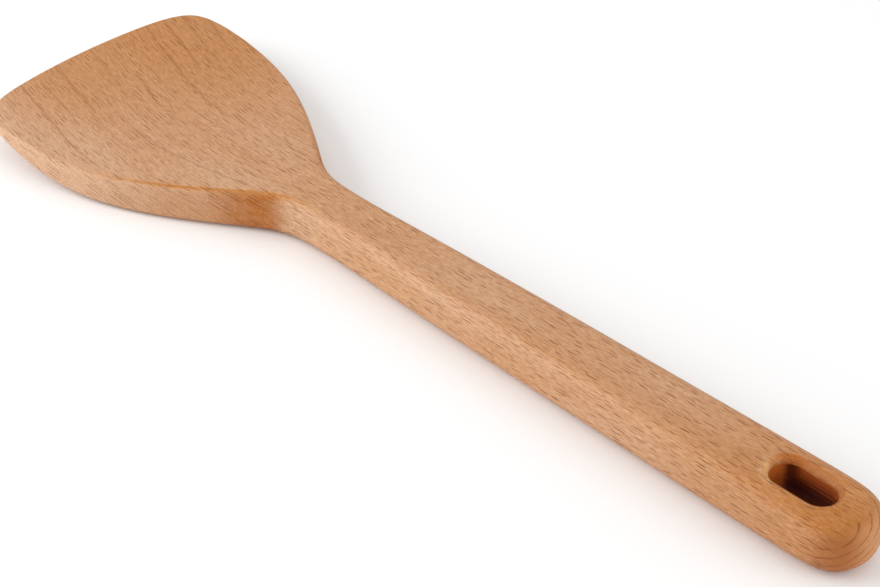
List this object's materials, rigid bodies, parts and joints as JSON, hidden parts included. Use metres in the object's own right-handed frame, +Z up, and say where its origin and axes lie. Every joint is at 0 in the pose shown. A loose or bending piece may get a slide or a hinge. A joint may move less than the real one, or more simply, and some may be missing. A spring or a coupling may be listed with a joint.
{
  "type": "wooden spatula",
  "caption": "Solid wooden spatula: tapering handle with a rounded end and a hanging slot, flaring through curved shoulders into a wide, slightly scooped blade with a thin front edge.",
  "frame": {"origin": "centre of the bounding box in plan, on the flat underside that the spatula lies on", "axes": "+X along the length towards the handle end, so the blade's front edge is at -X; +Y across the blade; +Z up out of the top face"},
  "size_m": [0.3, 0.083, 0.0161],
  "materials": {
    "beech": "sanded and oiled, satin"
  },
  "bodies": {
    "root": {"spatula_body": "beech"}
  },
  "joints": []
}
